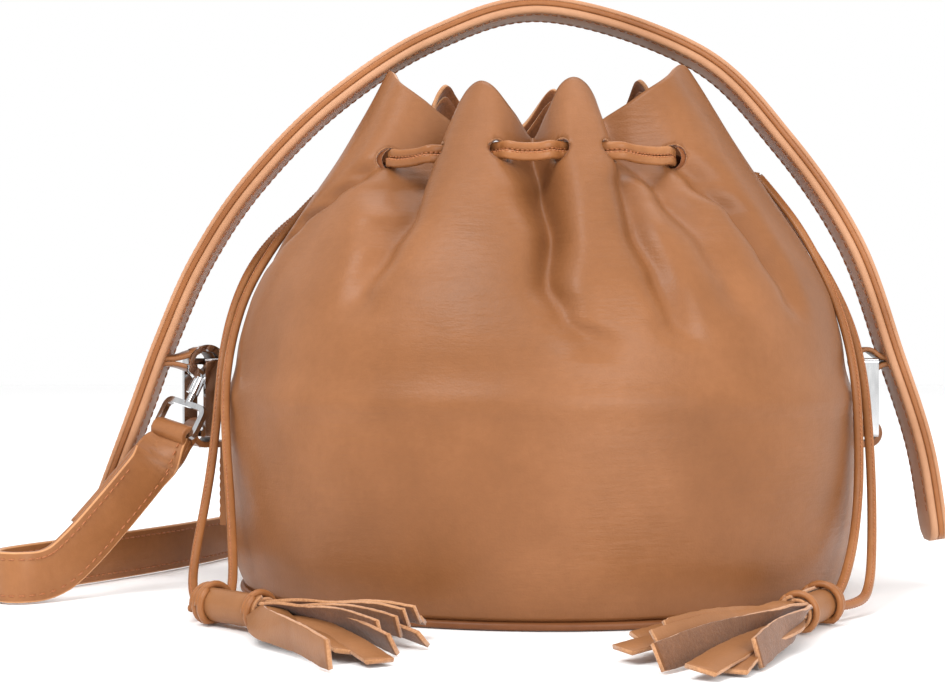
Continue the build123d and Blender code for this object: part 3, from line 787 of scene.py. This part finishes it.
# Strips: middle and end on the floor, height at the end, roll in degrees (0 flat, 90 on edge), width
STRIPS = {
    "left": (
        ((-85, -134), (-62, -175), 4.6, -98, 9.0), ((-78, -130), (-58, -160), 3.0, 12, 8.5),
        ((-72, -126), (-49, -166), 1.6, 0, 8.5), ((-72, -122), (-50, -146), 6.2, 70, 7.5),
        ((-68, -122), (-46, -152), 3.6, 58, 7.5), ((-67, -119), (-45, -139), 6.6, 66, 7.0),
        ((-64, -117), (-43, -133), 8.0, 60, 7.0), ((-62, -114), (-40, -127), 8.2, 50, 7.0),
        ((-63, -116), (-38, -140), 3.2, 40, 7.0), ((-66, -113), (-38.5, -121), 5.6, 24, 7.0),
        ((-70, -112), (-44, -114), 3.4, 8, 7.0)),
    "right": (
        ((66, -138), (35, -186), 2.8, 10, 9.0), ((60, -136), (25, -176), 4.0, -112, 8.5),
        ((62, -140), (44, -180), 1.4, 0, 8.5), ((56, -132), (17, -160), 3.6, 4, 8.5),
        ((58, -130), (26, -164), 6.4, 56, 7.5), ((58, -128), (30, -156), 7.6, 62, 7.5),
        ((60, -126), (32, -150), 7.8, 48, 7.0), ((56, -126), (22, -150), 5.0, 20, 7.0),
        ((64, -122), (40, -138), 6.0, 30, 7.0), ((70, -134), (52, -172), 4.6, -104, 8.5)),
}
TASSEL_SKINS = [TASSEL_FACE, TASSEL_BACK, CUT_EDGE]        # the materials of a face, a back and an edge
STRIP_HIDE = 1.3 * MM
STRIP_ROUGH = 0.22 * MM        # unevenness of the cut edges
FLOOR_GAP = 0.75 * MM        # how near the floor a strip's middle may come


def strip(name, number, start, spec):
    """One cut strip of the tassel: leather face, suede back, raw edges."""
    middle, end, height, roll, width = spec
    p1 = Vector((*middle, 5.5 + 0.3 * height)) * MM
    p2 = Vector((*end, height)) * MM
    line = resample(catmull([start, start.lerp(p1, 0.5) + UP * 0.9 * MM, p1,
                             p1.lerp(p2, 0.55) + UP * 0.8 * MM, p2], 8), 1.6 * MM)
    flat = (p2 - start).cross(UP).normalized()
    shares = [i / (len(line) - 1) for i in range(len(line))]
    angles = [math.radians(roll) * (0.35 + 0.65 * smoothstep(f * 1.4)) for f in shares]
    sides = [flat * math.cos(a) + UP * math.sin(a) for a in angles]
    section = rounded(width * MM, STRIP_HIDE, 0.18 * MM, 1)
    vertices = []
    for f, (point, tangent, across, normal) in zip(shares, frames(line, sides)):
        spread = 0.55 + 0.45 * smoothstep(f * 2.6)
        uneven = spread + 0.0375 * noise.noise(Vector((number * 3.1, f * 9, 0.3)))
        for u, v in section:
            rough = STRIP_ROUGH * noise.noise(point * 900 + Vector((u * 900, v * 900, number)))
            lift = max(0.0, FLOOR_GAP - (point + across * u * spread).z)
            vertices.append(point + across * (u * uneven + rough) + normal * v + UP * lift)
    count = len(section)
    heights = [(section[j][1] + section[(j + 1) % count][1]) / 2 for j in range(count)]
    skin = 0.3 * MM
    around = [1 if v > skin else 0 if v < -skin else 2 for v in heights]
    picks = around * (len(line) - 1) + [2, 2]
    return new_object(name, vertices, tube_faces(len(line), count), TASSEL_SKINS, picks)


def joined(name, objects):
    """One object from several."""
    with bpy.context.temp_override(active_object=objects[0], selected_editable_objects=objects):
        bpy.ops.object.join()
    objects[0].name = name
    return objects[0]


HEAD_Z = 6.4
ROLL_TURNS, ROLL_STEPS, ROLL_ROWS = 2.2, 64, 22
ROLL_R, ROLL_GROWS = 3.0, 2.8        # radius inside the roll, and its growth to the outside
# Windings of lace round the head: place along it and radius
WINDINGS = ((0.05, 5.6), (0.16, 6.2), (0.9, 5.7))
WIND_TURNS, WIND_STEPS = 1.15, 32
WIND = ellipse(2.6 * MM, 2.2 * MM)
ROOT_BACK, ROOT_R = 3.0, 2.4        # where the strips start inside the roll
ROOT_TURN = 2.4        # angle from strip to strip, in radians


def tassel(side):
    """Rolled head with its lace bindings, and its skirt of cut strips."""
    start, stop = (Vector((*end, HEAD_Z)) * MM for end in HEADS[side])
    forward = (stop - start).normalized()
    flat = forward.cross(UP).normalized()
    long = (stop - start).length
    vertices = []
    for i in range(ROLL_ROWS + 1):
        f = i / ROLL_ROWS
        bulge = 1.0 - 0.16 * bell(f - 0.06, 0.07) - 0.1 * bell(f - 0.9, 0.06)
        for k in range(ROLL_STEPS + 1):
            a = 2 * math.pi * ROLL_TURNS * k / ROLL_STEPS
            r = (ROLL_R + ROLL_GROWS * k / ROLL_STEPS) * MM * bulge
            r += 0.12 * MM * noise.noise(Vector((f * 9, a, 2.0)))
            skew = 1.2 * MM * (k / ROLL_STEPS - 0.5)
            vertices.append(start + forward * (long * f + skew) + (flat * math.cos(a) + UP * math.sin(a)) * r)
    row = ROLL_STEPS + 1
    faces = [(n, n + row, n + row + 1, n + 1)
             for n in (i * row + k for i in range(ROLL_ROWS) for k in range(ROLL_STEPS))]
    head = new_object(f"tassel_roll_{side}", vertices, faces, TASSEL_SKINS)
    solid = head.modifiers.new("thickness", "SOLIDIFY")
    solid.thickness = 1.0 * MM
    solid.offset = -1
    solid.material_offset = 1
    solid.material_offset_rim = 2
    apply_modifiers(head)
    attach(head, "bag")
    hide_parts(f"tassel_head_{side}")
    knots = []
    for number, (at, radius) in enumerate(WINDINGS):
        wind = []
        for k in range(WIND_STEPS + 1):
            a = 2 * math.pi * WIND_TURNS * k / WIND_STEPS
            point = start + forward * long * (at + 0.05 * k / WIND_STEPS)
            point += (flat * math.cos(a) + UP * math.sin(a)) * radius * MM
            point.z = max(point.z, 1.5 * MM)
            wind.append(point)
        knots.append(sweep(f"wind_{side}_{number}", wind, WIND, forward, [LACE_LEATHER]))
    binding = joined(f"tassel_binding_{side}", knots)
    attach(binding, "bag")
    strips = []
    for n, spec in enumerate(STRIPS[side]):
        a = n * ROOT_TURN
        root = stop - forward * ROOT_BACK * MM + (flat * math.cos(a) + UP * math.sin(a)) * ROOT_R * MM
        strips.append(strip(f"strip_{side}_{n}", n, root, spec))
    skirt = joined(f"tassel_fringe_{side}", strips)
    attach(skirt, "bag")
    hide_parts(f"tassel_skirt_{side}")
    return [head, binding]


for side in ("left", "right"):
    tail(f"lace_tail_{side}_front", tassel(side))
    tail(f"lace_tail_{side}_back", [])


# ---------------------------------------------------------------- shoulder strap
# The left hook: where it grips the ring, the way it hangs, and the bar of its eye
GRIP = Vector((-119.07, -9.41, 80.0)) * MM
DOWN = Vector((-0.401, -0.213, -0.891))
EYE_BAR = GRIP + DOWN * 27.0 * MM
BAR_ALONG = (Vector((0.7, -0.65, -0.3)) - DOWN * Vector((0.7, -0.65, -0.3)).dot(DOWN)).normalized()
# The strap falls from the left eye, runs along the floor on its edge and rises to the right eye.
# FALL and RISE give the distance along and the height.
FALL_FROM = Vector((-130.9, -15.8, 0))
FALL_TO = Vector((-166.0, -44.0, 0))
FALL = ((0.0, 53.0), (11.0, 40.8), (23.0, 28.4), (34.0, 17.6), (45.1, 8.9))
FLOOR_RUN = (
    (-177.5, -52.3), (-188.2, -42.8), (-177.0, -20.5), (-152.5, 16.0), (-131.5, 55.0), (-119.0, 90.0),
    (-100.0, 118.0), (-64.0, 129.5), (0.0, 122.8), (60.0, 127.0), (90.0, 130.0), (91.0, 148.0), (60.0, 144.5),
    (0.0, 140.8), (-60.0, 145.0), (-90.0, 147.5), (-91.0, 165.5), (-60.0, 162.0), (0.0, 158.5), (58.0, 162.0),
    (98.0, 158.0), (116.0, 138.0), (120.5, 116.0), (118.4, 96.0))
RISE_TO = Vector((114.6, 37.6, 0))
RISE = ((18.0, 14.5), (40.0, 37.0), (59.2, 52.8))
STRAP_MID = 8.9        # height of the strap's middle where it stands on edge
STRAP = rounded(17.0 * MM, 2.4 * MM, 0.55 * MM)
STRAP_TWIST = 16 * MM        # over which the strap turns from the eye's bar to upright
STRAP_SEAM = 6.1 * MM
STRAP_PITCH = 3.0 * MM
FOLD_R = 2.6 * MM        # of the fold round the eye's bar
FOLD_PITCH = 1.5


def strap_route():
    """Control points of the strap, from below the left eye to the right eye."""
    fall = (FALL_TO - FALL_FROM).normalized()
    rise_from = Vector((*FLOOR_RUN[-1], 0))
    rise = (RISE_TO - rise_from).normalized()
    points = [FALL_FROM + fall * d + Vector((0, 0, h)) for d, h in FALL]
    points += [Vector((x, y, STRAP_MID)) for x, y in FLOOR_RUN]
    points += [rise_from + rise * d + Vector((0, 0, h)) for d, h in RISE]
    return [p * MM for p in points]


line = resample(nurbs_line([EYE_BAR + DOWN * 1.5 * MM, *strap_route()]), 2.2 * MM)
walked, sides = 0.0, []
for i, p in enumerate(line):
    walked += (p - line[i - 1]).length if i else 0.0
    turn = smoothstep(walked / STRAP_TWIST)
    sides.append((UP * turn - BAR_ALONG * (1 - turn)).normalized())
strap = sweep("strap_band", line, STRAP, sides, [STRAP_LEATHER, EDGE_PAINT],
              material_of=lambda edge: 0 if edge % 4 == 3 else 1)
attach(strap, "bag")
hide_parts("shoulder_strap")
rows = []
for edge in (-1, 1):
    for face in (-1, 1):
        rows += row_of_stitches(line, sides, edge * STRAP_SEAM, face * 1.22 * MM, STRAP_PITCH)
seam = stitches("strap_stitches", rows, 2.2 * MM, 0.34 * MM)
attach(seam, "bag")
across_bar = DOWN.cross(BAR_ALONG).normalized()
wrap = [EYE_BAR + (DOWN * math.cos(math.radians(a)) + across_bar * math.sin(math.radians(a))) * FOLD_R
        for a in range(-60, 300, 20)]
back = [point + normal * FOLD_R for point, tangent, across, normal in frames(line, sides)[6:24:5]]
over = resample(catmull([*wrap, *back], 5), FOLD_PITCH * MM)
over_sides = [(-BAR_ALONG).lerp(UP, smoothstep((i * FOLD_PITCH - 14) / 16)).normalized()
              for i in range(len(over))]
fold = sweep("strap_fold", over, STRAP, over_sides, [STRAP_LEATHER])
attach(fold, "bag")


# ---------------------------------------------------------------- camera, light and floor
def add_light(name, place, target, size, power):
    """Soft rectangular light that faces a target."""
    data = bpy.data.lights.new(name, "AREA")
    data.shape = "RECTANGLE"
    data.size, data.size_y = size
    data.energy = power
    light = bpy.data.objects.new(name, data)
    light.location = place
    light.rotation_euler = (Vector(target) - Vector(place)).to_track_quat("-Z", "Y").to_euler()
    COLLECTION.objects.link(light)


CAMERA_AT = (-0.024, -0.650, 0.088)
LENS = 68.2
FRAME_SHIFT = -0.0021
FLOOR_HALF = 3.0
FLOOR_DROP = 0.0002


def studio():
    """Pale floor, soft lights and the camera."""
    corners = [(x * FLOOR_HALF, y * FLOOR_HALF, 0) for x, y in ((-1, -1), (1, -1), (1, 1), (-1, 1))]
    floor = new_object("floor", corners, [(0, 1, 2, 3)], [], smooth=False)
    floor.location.z = -FLOOR_DROP
    material, _, shader, _ = new_material("pale floor")
    shader.inputs["Base Color"].default_value = (0.96, 0.96, 0.96, 1)
    shader.inputs["Roughness"].default_value = 0.6
    shader.inputs["Specular IOR Level"].default_value = 0.2
    floor.data.materials.append(material)
    world = bpy.data.worlds.new("studio")
    world.use_nodes = True
    background = world.node_tree.nodes["Background"]
    background.inputs["Color"].default_value = (1, 1, 1, 1)
    background.inputs["Strength"].default_value = 1.0
    bpy.context.scene.world = world
    bpy.context.scene.view_settings.view_transform = "Standard"
    add_light("key", (-0.55, -0.75, 0.95), (0, 0, 0.1), (0.5, 0.5), 10.0)
    add_light("front", (0.5, -1.1, 0.45), (0, 0, 0.08), (0.7, 0.5), 9.0)
    add_light("top", (0.1, 0.15, 1.2), (0, 0, 0.1), (0.9, 0.9), 6.0)
    data = bpy.data.cameras.new("camera")
    data.lens = LENS
    data.sensor_width = 36.0
    data.shift_y = FRAME_SHIFT
    data.clip_start = 0.05
    camera = bpy.data.objects.new("camera", data)
    camera.location = CAMERA_AT
    camera.rotation_euler = (math.pi / 2, 0, 0)
    COLLECTION.objects.link(camera)
    bpy.context.scene.camera = camera


studio()
